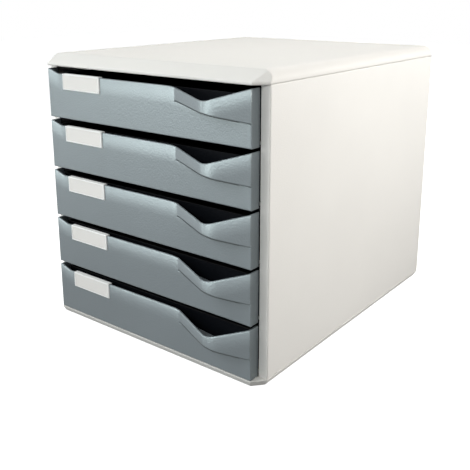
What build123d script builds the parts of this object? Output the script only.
"""Five-drawer A4 desk unit: a moulded case, trays that run on ledges, and fronts with a sculpted grip.

Sizes are in millimetres. X runs to the right, Y to the back and Z up.
The origin lies under the middle of the unit, on the surface that it stands on.
"""

import os
from math import asin, atan2, cos, hypot, sin, sqrt

from build123d import *

os.makedirs("parts", exist_ok=True)

# Whole unit
CASE_WIDTH = 285.0
UNIT_DEPTH = 360.0
UNIT_HEIGHT = 290.0
DRAWER_COUNT = 5
CUT_OVERRUN = 5.0  # how far a cut runs past the face that it opens

# Case mouldings
CASE_WALL = 2.5
FRAME_WIDTH = 9.5  # front face of a side wall, beside the drawers
FRAME_EDGE = 1.6  # rounding of a side wall's front corner
SEAM_BEVEL = 0.5  # fine groove where a side wall meets cover and base
COVER_HEIGHT = 12.0
COVER_SIDE_ROUND = 11.0
VISOR_RUN = 18.5  # sloping front of the cover, from its lip back to the flat top
VISOR_LIP = 2.2  # upright lip under that slope
CORNER_RUN = 8.0  # how far the cover's cut corners lean back above the lip
TONGUE_WIDTH = 2.0  # ribs of cover and base that sit inside the side walls
TONGUE_GAP = 0.3
TONGUE_DROP = 4.0
TONGUE_INSET = 14.0
BACK_WALL = 2.5
BACK_GAP = 0.3
BACK_LEDGE = 5.0  # side wall ledge that the back panel lies against
BACK_FIELD_MARGIN = 18.0
BACK_FIELD_DEPTH = 0.8
BACK_FIELD_ROUND = 8.0

# Base and feet
BASE_HEIGHT = 6.0
BASE_LAND = 0.8  # upright strip above the bevelled rim
BASE_TAPER = 28.0  # slope of the bevelled rim, in degrees
BASE_FLOOR = 2.2
BASE_RIM = 7.0
BASE_RIB = 2.2
BASE_CELLS_ACROSS = 4
BASE_CELLS_DEEP = 5
FOOT_DIAMETER = 16.0
FOOT_PROUD = 0.8
FOOT_SEAT = 1.4
FOOT_GAP = 0.2
FOOT_INSET = 24.0
FOOT_EDGE = 0.4  # bevel where a foot meets the desk

# Runners and trays
RUNNER_REACH = 18.0
RUNNER_THICKNESS = 2.2
RUN_GAP = 0.3
GUIDE_HEIGHT = 7.0
TRAY_WALL = 2.0
TRAY_HEIGHT = 40.0
TRAY_LIFT = 4.0  # underside of the tray above the front's lower edge
TRAY_SIDE_GAP = 1.5
TRAY_REAR_GAP = 0.8
TRAY_CORNER = 6.0
TRAY_EDGE = 3.2  # rounding under the floor, all round
DRAWER_TRAVEL = 235.0
STOP_GAP = 0.3
LUG_REACH = 3.0
LUG_LENGTH = 14.0
LUG_LIFT = 14.0
LUG_HEIGHT = 10.0

# Drawer fronts
FRONT_DEPTH = 12.3  # how far the flat front stands before the side walls
FRONT_WALL = 2.2
FRONT_SIDE_GAP = 1.1
FRONT_GAP = 3.1  # between one front and the next
FRONT_LIFT = 0.5  # above the base
FRONT_DIP = 5.0  # level part of the upper edge, below the full height
FRONT_EDGE = 0.9  # rounding of the front's outer corners
BRIM_EDGE = 0.9  # rounding along both sides of the upper edge
RAMP_WIDTH = 15.8
RAMP_ROUND = 9.0
POST_DIAMETER = 6.0
POST_HEIGHT = 12.0
POST_COUNT = 4
POST_SPACING = 66.0

# Grip
GRIP_PROUD = 16.4  # nose before the flat front
GRIP_WIDTH = 85.9  # crease to right edge
NOSE_FROM_EDGE = 37.1
NOSE_ROUND = 25.0
EDGE_PROUD = 0.8
CREASE_EASE = 6.5  # the upper edge starts to fall this far left of the crease
CREASE_ROUND = 45.0
GRIP_DIP = 12.7  # tip of the V, below the full height
DIP_BEFORE_NOSE = 2.6
DIP_ROUND = 32.0
CREASE_DROP = 13.0  # lower edge of the grip, below the level edge
NOSE_DROP = 18.4
EDGE_DROP = 25.2
HEM_GROOVE = 1.0  # height of the shadow groove under the grip's lower edge
HEM_DEPTH = 1.0

# Labels
LABEL_WIDTH = 55.0
LABEL_HEIGHT = 16.4
LABEL_FROM_EDGE = 24.2
LABEL_STAND = 0.6
LABEL_THICKNESS = 1.4
LABEL_RIM = 1.2
LABEL_BEVEL = 0.4
CARD_SEAT = 0.6
CARD_THICKNESS = 0.4
CARD_GAP = 0.2
HOOK_GAP = 0.2
HOOK_THICKNESS = 1.2
HOOK_DROP = 8.0

# Lines that the pieces share
HALF_WIDTH = CASE_WIDTH / 2
FRONT_Y = GRIP_PROUD - UNIT_DEPTH / 2
FRAME_Y = FRONT_Y + FRONT_DEPTH
BACK_Y = UNIT_DEPTH / 2
LOW_SEAM_Z = FOOT_PROUD + BASE_HEIGHT
HIGH_SEAM_Z = UNIT_HEIGHT - COVER_HEIGHT
PITCH = (HIGH_SEAM_Z - LOW_SEAM_Z) / DRAWER_COUNT
OPENING_HALF = HALF_WIDTH - FRAME_WIDTH
FRONT_HALF = OPENING_HALF - FRONT_SIDE_GAP
FRONT_HEIGHT = PITCH - FRONT_GAP
FRONT_Z = LOW_SEAM_Z + FRONT_LIFT
TRAY_Z = FRONT_Z + TRAY_LIFT
TRAY_HALF = OPENING_HALF - TRAY_SIDE_GAP
TRAY_BACK = BACK_Y - BACK_WALL - TRAY_REAR_GAP
RUNNER_Z = TRAY_Z - RUN_GAP - RUNNER_THICKNESS
INNER_HALF = HALF_WIDTH - CASE_WALL
TONGUE_X = INNER_HALF - TONGUE_GAP - TONGUE_WIDTH / 2
TONGUE_LENGTH = BACK_Y - BACK_WALL - FRAME_Y - 2 * TONGUE_INSET
TONGUE_MIDDLE = (BACK_Y - BACK_WALL + FRAME_Y) / 2


def facing(y, z):
    """Plane seen from the front: its own x is X, its own y is Z."""
    return Plane(origin=(0, y, z), x_dir=(1, 0, 0), z_dir=(0, -1, 0))


def across(x, z):
    """Plane seen from the right: its own x is Y, its own y is Z."""
    return Plane(origin=(x, 0, z), x_dir=(0, 1, 0), z_dir=(1, 0, 0))


def level(z):
    """Plan plane at a height."""
    return Plane.XY.offset(z)


def save(part, name):
    """Label a finished piece and write its file."""
    part.label = name
    export_step(part, f"parts/{name}.step")


def case_plan(z):
    """Plan outline of cover and base at a height, with cut front corners."""
    with BuildSketch(level(z)) as plan:
        with BuildLine():
            Polyline(
                (-FRONT_HALF, FRONT_Y),
                (FRONT_HALF, FRONT_Y),
                (HALF_WIDTH, FRAME_Y),
                (HALF_WIDTH, BACK_Y),
                (-HALF_WIDTH, BACK_Y),
                (-HALF_WIDTH, FRAME_Y),
                close=True,
            )
        make_face()
    return plan.sketch


# Top cover: rounded sides run to the back, a sloping visor ends at the cut corners
with BuildPart() as top_cover:
    extrude(case_plan(HIGH_SEAM_Z), amount=COVER_HEIGHT)
    flat_top = top_cover.faces().sort_by(Axis.Z)[-1]
    cut_corners = flat_top.edges().filter_by(lambda e: FRONT_Y < e.center().Y < FRAME_Y)
    chamfer(cut_corners, length=CORNER_RUN, length2=COVER_HEIGHT - VISOR_LIP, reference=flat_top)
    with BuildSketch(facing(BACK_Y, HIGH_SEAM_Z)):
        with Locations((0, COVER_HEIGHT / 2)):
            hood = Rectangle(CASE_WIDTH, COVER_HEIGHT)
        fillet(hood.vertices().group_by(Axis.Y)[-1], radius=COVER_SIDE_ROUND)
    extrude(amount=UNIT_DEPTH, mode=Mode.INTERSECT)
    with BuildSketch(across(0, HIGH_SEAM_Z)):
        with BuildLine():
            Polyline(
                (FRONT_Y - CUT_OVERRUN, VISOR_LIP),
                (FRONT_Y, VISOR_LIP),
                (FRONT_Y + VISOR_RUN, COVER_HEIGHT),
                (FRONT_Y + VISOR_RUN, COVER_HEIGHT + CUT_OVERRUN),
                (FRONT_Y - CUT_OVERRUN, COVER_HEIGHT + CUT_OVERRUN),
                close=True,
            )
        make_face()
    extrude(amount=CASE_WIDTH, both=True, mode=Mode.SUBTRACT)
    offset(amount=-CASE_WALL, openings=top_cover.faces().sort_by(Axis.Z)[0])
    # The tongues end half way through the rounded wall above them
    round_run = TONGUE_X - HALF_WIDTH + COVER_SIDE_ROUND
    middle_round = COVER_SIDE_ROUND - CASE_WALL / 2
    tongue_rise = COVER_HEIGHT - COVER_SIDE_ROUND + sqrt(middle_round**2 - round_run**2)
    with BuildSketch(level(HIGH_SEAM_Z - TONGUE_DROP)):
        with Locations((-TONGUE_X, TONGUE_MIDDLE), (TONGUE_X, TONGUE_MIDDLE)):
            Rectangle(TONGUE_WIDTH, TONGUE_LENGTH)
    extrude(amount=TONGUE_DROP + tongue_rise)
save(top_cover.part, "top_cover")

# Base: bevelled rim, ribbed underside, seats for the feet and tongues inside the side walls
foot_spots = [
    (side * (HALF_WIDTH - FOOT_INSET), end)
    for end in (FRAME_Y + FOOT_INSET, BACK_Y - FOOT_INSET)
    for side in (-1, 1)
]
field_width = CASE_WIDTH - 2 * BASE_RIM
field_depth = BACK_Y - FRAME_Y - 2 * BASE_RIM
cell_width = field_width / BASE_CELLS_ACROSS
cell_depth = field_depth / BASE_CELLS_DEEP
with BuildPart() as base_tray:
    extrude(case_plan(LOW_SEAM_Z), amount=-BASE_LAND)
    bevel_height = BASE_HEIGHT - BASE_LAND
    extrude(case_plan(LOW_SEAM_Z - BASE_LAND), amount=-bevel_height, taper=BASE_TAPER)
    with BuildSketch(level(FOOT_PROUD)):
        with Locations((0, (BACK_Y + FRAME_Y) / 2)):
            with GridLocations(cell_width, cell_depth, BASE_CELLS_ACROSS, BASE_CELLS_DEEP):
                Rectangle(cell_width - BASE_RIB, cell_depth - BASE_RIB)
    extrude(amount=BASE_HEIGHT - BASE_FLOOR, mode=Mode.SUBTRACT)
    with BuildSketch(level(FOOT_PROUD)):
        with Locations(foot_spots):
            Circle(FOOT_DIAMETER / 2 + FOOT_GAP + BASE_RIB)
    extrude(amount=BASE_HEIGHT - BASE_FLOOR / 2)
    with BuildSketch(level(FOOT_PROUD)):
        with Locations(foot_spots):
            Circle(FOOT_DIAMETER / 2 + FOOT_GAP)
    extrude(amount=FOOT_SEAT, mode=Mode.SUBTRACT)
    with BuildSketch(level(LOW_SEAM_Z)):
        with Locations((-TONGUE_X, TONGUE_MIDDLE), (TONGUE_X, TONGUE_MIDDLE)):
            Rectangle(TONGUE_WIDTH, TONGUE_LENGTH)
    extrude(amount=RUNNER_Z - LOW_SEAM_Z - TONGUE_GAP)
save(base_tray.part, "base_tray")

foot_names = ("foot_front_left", "foot_front_right", "foot_rear_left", "foot_rear_right")
for foot_name, spot in zip(foot_names, foot_spots):
    with BuildPart() as foot:
        with BuildSketch(Plane.XY):
            with Locations(spot):
                Circle(FOOT_DIAMETER / 2)
        extrude(amount=FOOT_PROUD + FOOT_SEAT)
        chamfer(foot.edges().group_by(Axis.Z)[0], length=FOOT_EDGE)
    save(foot.part, foot_name)

# Side walls: one plan outline with front return and rear ledge, then a ledge and guide for each tray
with BuildPart() as right_side_wall:
    with BuildSketch(level(LOW_SEAM_Z)) as wall_plan:
        with BuildLine():
            Polyline(
                (OPENING_HALF, FRAME_Y),
                (HALF_WIDTH, FRAME_Y),
                (HALF_WIDTH, BACK_Y),
                (INNER_HALF, BACK_Y),
                (INNER_HALF, BACK_Y - BACK_WALL),
                (INNER_HALF - BACK_LEDGE, BACK_Y - BACK_WALL),
                (INNER_HALF - BACK_LEDGE, BACK_Y - BACK_WALL - CASE_WALL),
                (INNER_HALF, BACK_Y - BACK_WALL - CASE_WALL),
                (INNER_HALF, FRAME_Y + CASE_WALL),
                (OPENING_HALF, FRAME_Y + CASE_WALL),
                close=True,
            )
        make_face()
        front_corners = wall_plan.vertices().group_by(Axis.Y)[0]
        fillet(front_corners.sort_by(Axis.X)[-1], radius=FRAME_EDGE)
    extrude(amount=HIGH_SEAM_Z - LOW_SEAM_Z)
    outer_face = right_side_wall.faces().sort_by(Axis.X)[-1]
    rims = outer_face.edges().filter_by(Axis.Y)
    chamfer(rims, length=SEAM_BEVEL)
    runner_length = BACK_Y - BACK_WALL - FRAME_Y - CASE_WALL
    for step in range(DRAWER_COUNT):
        with BuildSketch(facing(BACK_Y - BACK_WALL, RUNNER_Z + step * PITCH)):
            with BuildLine():
                Polyline(
                    (INNER_HALF - RUNNER_REACH, 0),
                    (INNER_HALF, 0),
                    (INNER_HALF, RUNNER_THICKNESS),
                    (OPENING_HALF + RUNNER_THICKNESS, RUNNER_THICKNESS),
                    (OPENING_HALF + RUNNER_THICKNESS, GUIDE_HEIGHT),
                    (OPENING_HALF, GUIDE_HEIGHT),
                    (OPENING_HALF, RUNNER_THICKNESS),
                    (INNER_HALF - RUNNER_REACH, RUNNER_THICKNESS),
                    close=True,
                )
            make_face()
        extrude(amount=runner_length)
save(right_side_wall.part, "right_side_wall")

with BuildPart() as left_side_wall:
    add(mirror(right_side_wall.part, about=Plane.YZ, mode=Mode.PRIVATE))
save(left_side_wall.part, "left_side_wall")

# Back panel: flat, with a shallow sunk field on its outside
panel_width = 2 * (INNER_HALF - BACK_GAP)
panel_height = HIGH_SEAM_Z - LOW_SEAM_Z
with BuildPart() as back_panel:
    with BuildSketch(facing(BACK_Y, (HIGH_SEAM_Z + LOW_SEAM_Z) / 2)):
        Rectangle(panel_width, panel_height)
    extrude(amount=BACK_WALL)
    with BuildSketch(facing(BACK_Y, (HIGH_SEAM_Z + LOW_SEAM_Z) / 2)):
        RectangleRounded(
            panel_width - 2 * BACK_FIELD_MARGIN,
            panel_height - 2 * BACK_FIELD_MARGIN,
            BACK_FIELD_ROUND,
        )
    extrude(amount=BACK_FIELD_DEPTH, mode=Mode.SUBTRACT)
save(back_panel.part, "back_panel")

# Tray of the lowest drawer: a shelled box with wedge lugs that meet the side walls' front returns
tray_length = TRAY_BACK - FRAME_Y
lug_y = FRAME_Y + CASE_WALL + STOP_GAP + DRAWER_TRAVEL
with BuildPart() as tray:
    with BuildSketch(level(TRAY_Z)) as tray_plan:
        with Locations((0, FRAME_Y + tray_length / 2)):
            Rectangle(2 * TRAY_HALF, tray_length)
        fillet(tray_plan.vertices().group_by(Axis.Y)[-1], radius=TRAY_CORNER)
    extrude(amount=TRAY_HEIGHT)
    floor_edges = tray.edges().group_by(Axis.Z)[0]
    fillet(floor_edges.filter_by(lambda e: e.center().Y > FRAME_Y + TRAY_WALL), radius=TRAY_EDGE)
    offset(amount=-TRAY_WALL, openings=tray.faces().sort_by(Axis.Z)[-1])
    with BuildSketch(level(TRAY_Z + LUG_LIFT)):
        with BuildLine():
            Polyline(
                (TRAY_HALF - TRAY_WALL / 2, lug_y),
                (OPENING_HALF + LUG_REACH, lug_y),
                (TRAY_HALF - TRAY_WALL / 2, lug_y + LUG_LENGTH),
                close=True,
            )
        make_face()
        mirror(about=Plane.YZ)
    extrude(amount=LUG_HEIGHT)

# Front of the lowest drawer, made up from its flat wall, the grip and the hollow behind the grip
crease_x = FRONT_HALF - GRIP_WIDTH
nose_x = FRONT_HALF - NOSE_FROM_EDGE
level_z = FRONT_HEIGHT - FRONT_DIP


def touch_point(start, centre, radius, side):
    """Where a straight stretch from start meets the circle of the nose; side is 1 from the left."""
    run = side * (centre[0] - start[0])
    drop = centre[1] - start[1]
    slope = asin(radius / hypot(run, drop)) - atan2(drop, run)
    reach = sqrt(run**2 + drop**2 - radius**2)
    return (start[0] + side * reach * cos(slope), start[1] - reach * sin(slope))


def grip_plan(inset, back_y):
    """Plan of the grip: straight from the crease, round the nose, straight back to the right edge."""
    radius = NOSE_ROUND - inset
    start = (crease_x, FRONT_Y + inset)
    nose = (nose_x, FRONT_Y + inset - GRIP_PROUD)
    end = (FRONT_HALF - inset, FRONT_Y + inset - EDGE_PROUD)
    centre = (nose_x, nose[1] + radius)
    with BuildSketch(level(FRONT_Z)) as plan:
        with BuildLine():
            left = Line(start, touch_point(start, centre, radius, 1))
            right = Line(touch_point(end, centre, radius, -1), end)
            ThreePointArc(left @ 1, nose, right @ 0)
            Polyline(end, (end[0], back_y), (crease_x, back_y), start)
        make_face()
    return plan.sketch


def below_hem(lift):
    """Front view of everything under the grip's lower edge, raised by lift."""
    floor_z = -CUT_OVERRUN
    with BuildSketch(facing(FRONT_Y, FRONT_Z)) as view:
        with BuildLine():
            Polyline(
                (crease_x - CUT_OVERRUN, floor_z),
                (crease_x - CUT_OVERRUN, level_z - CREASE_DROP + lift),
                (crease_x, level_z - CREASE_DROP + lift),
                (nose_x, level_z - NOSE_DROP + lift),
                (FRONT_HALF, level_z - EDGE_DROP + lift),
                (FRONT_HALF + CUT_OVERRUN, level_z - EDGE_DROP + lift),
                (FRONT_HALF + CUT_OVERRUN, floor_z),
                close=True,
            )
        make_face()
    return view.sketch


def on_brim(edge):
    """True for edges that run across the front along its upper edge."""
    span = edge.bounding_box().size
    runs_across = span.X > max(span.Y, span.Z)
    return runs_across and edge.center().Z > FRONT_Z + FRONT_HEIGHT - GRIP_DIP


with BuildPart() as grip:
    extrude(grip_plan(0, FRONT_Y + FRONT_WALL / 2), amount=FRONT_HEIGHT)
    extrude(below_hem(0), amount=UNIT_DEPTH, both=True, mode=Mode.SUBTRACT)

with BuildPart() as finger_space:
    extrude(grip_plan(FRONT_WALL, FRAME_Y + CUT_OVERRUN), amount=FRONT_HEIGHT + CUT_OVERRUN)
    extrude(below_hem(FRONT_WALL), amount=UNIT_DEPTH, both=True, mode=Mode.SUBTRACT)

with BuildPart() as hem_groove:
    with BuildSketch(facing(FRONT_Y + HEM_DEPTH, FRONT_Z)):
        with BuildLine():
            Polyline(
                (crease_x, level_z - CREASE_DROP),
                (nose_x, level_z - NOSE_DROP),
                (FRONT_HALF + CUT_OVERRUN, level_z - EDGE_DROP),
                (FRONT_HALF + CUT_OVERRUN, level_z - EDGE_DROP - HEM_GROOVE),
                (nose_x, level_z - NOSE_DROP - HEM_GROOVE),
                (crease_x, level_z - CREASE_DROP - HEM_GROOVE),
                close=True,
            )
        make_face()
    extrude(amount=HEM_DEPTH + CUT_OVERRUN)

with BuildPart() as front:
    with BuildSketch(facing(FRAME_Y, FRONT_Z + FRONT_HEIGHT / 2)):
        Rectangle(2 * FRONT_HALF, FRONT_HEIGHT)
    extrude(amount=FRONT_DEPTH)
    face_edges = front.faces().sort_by(Axis.Y)[0].edges()
    fillet(face_edges.sort_by(Axis.Z)[:-1], radius=FRONT_EDGE)
    with BuildSketch(facing(FRAME_Y, FRONT_Z + FRONT_WALL)):
        with Locations((0, FRONT_HEIGHT / 2)):
            Rectangle(2 * (FRONT_HALF - FRONT_WALL), FRONT_HEIGHT)
    extrude(amount=FRONT_DEPTH - FRONT_WALL, mode=Mode.SUBTRACT)
    with BuildSketch(facing(FRAME_Y, FRONT_Z + POST_HEIGHT)):
        with GridLocations(POST_SPACING, 0, POST_COUNT, 1):
            Circle(POST_DIAMETER / 2)
    extrude(amount=FRONT_DEPTH - FRONT_WALL)
    add(grip.part)
    add(finger_space.part, mode=Mode.SUBTRACT)
    add(hem_groove.part, mode=Mode.SUBTRACT)
    with BuildSketch(facing(FRONT_Y, FRONT_Z)):
        with BuildLine():
            brim = FilletPolyline(
                (-FRONT_HALF, FRONT_HEIGHT),
                (RAMP_WIDTH - FRONT_HALF, level_z),
                (crease_x - CREASE_EASE, level_z),
                (nose_x - DIP_BEFORE_NOSE, FRONT_HEIGHT - GRIP_DIP),
                (FRONT_HALF, FRONT_HEIGHT),
                radius=[RAMP_ROUND, CREASE_ROUND, DIP_ROUND],
            )
            Polyline(
                brim @ 1,
                (FRONT_HALF, FRONT_HEIGHT + CUT_OVERRUN),
                (-FRONT_HALF, FRONT_HEIGHT + CUT_OVERRUN),
                brim @ 0,
            )
        make_face()
    extrude(amount=UNIT_DEPTH, both=True, mode=Mode.SUBTRACT)
    fillet(front.edges().filter_by(on_brim), radius=BRIM_EDGE)

# Label frame of the lowest drawer, hooked over the level edge, and its card
label_x = LABEL_FROM_EDGE + LABEL_WIDTH / 2 - FRONT_HALF
label_z = FRONT_Z + level_z + LABEL_STAND - LABEL_HEIGHT / 2
hook_y = FRONT_Y + FRONT_WALL + HOOK_GAP
with BuildPart() as label_holder:
    with BuildSketch(facing(FRONT_Y, label_z)):
        with Locations((label_x, 0)):
            Rectangle(LABEL_WIDTH, LABEL_HEIGHT)
    extrude(amount=LABEL_THICKNESS)
    chamfer(label_holder.faces().sort_by(Axis.Y)[0].edges(), length=LABEL_BEVEL)
    with BuildSketch(across(label_x, FRONT_Z + level_z)):
        with BuildLine():
            Polyline(
                (FRONT_Y - LABEL_THICKNESS / 2, 0),
                (hook_y, 0),
                (hook_y, -HOOK_DROP),
                (hook_y + HOOK_THICKNESS, -HOOK_DROP),
                (hook_y + HOOK_THICKNESS, LABEL_STAND),
                (FRONT_Y - LABEL_THICKNESS / 2, LABEL_STAND),
                close=True,
            )
        make_face()
    extrude(amount=LABEL_WIDTH / 2, both=True)
    with BuildSketch(facing(FRONT_Y - LABEL_THICKNESS, label_z)):
        with Locations((label_x, 0)):
            Rectangle(LABEL_WIDTH - 2 * LABEL_RIM, LABEL_HEIGHT - 2 * LABEL_RIM)
    extrude(amount=-CARD_SEAT, mode=Mode.SUBTRACT)

with BuildPart() as label_card:
    with BuildSketch(facing(FRONT_Y - LABEL_THICKNESS + CARD_SEAT, label_z)):
        with Locations((label_x, 0)):
            Rectangle(
                LABEL_WIDTH - 2 * (LABEL_RIM + CARD_GAP),
                LABEL_HEIGHT - 2 * (LABEL_RIM + CARD_GAP),
            )
    extrude(amount=CARD_THICKNESS)

# Five drawers alike, numbered from the top
drawer_pieces = {
    "tray": tray.part,
    "front": front.part,
    "label_holder": label_holder.part,
    "label_card": label_card.part,
}
for number in range(1, DRAWER_COUNT + 1):
    for piece_name, piece in drawer_pieces.items():
        with BuildPart() as placed:
            with Locations((0, 0, (DRAWER_COUNT - number) * PITCH)):
                add(piece)
        save(placed.part, f"drawer_{number}_{piece_name}")
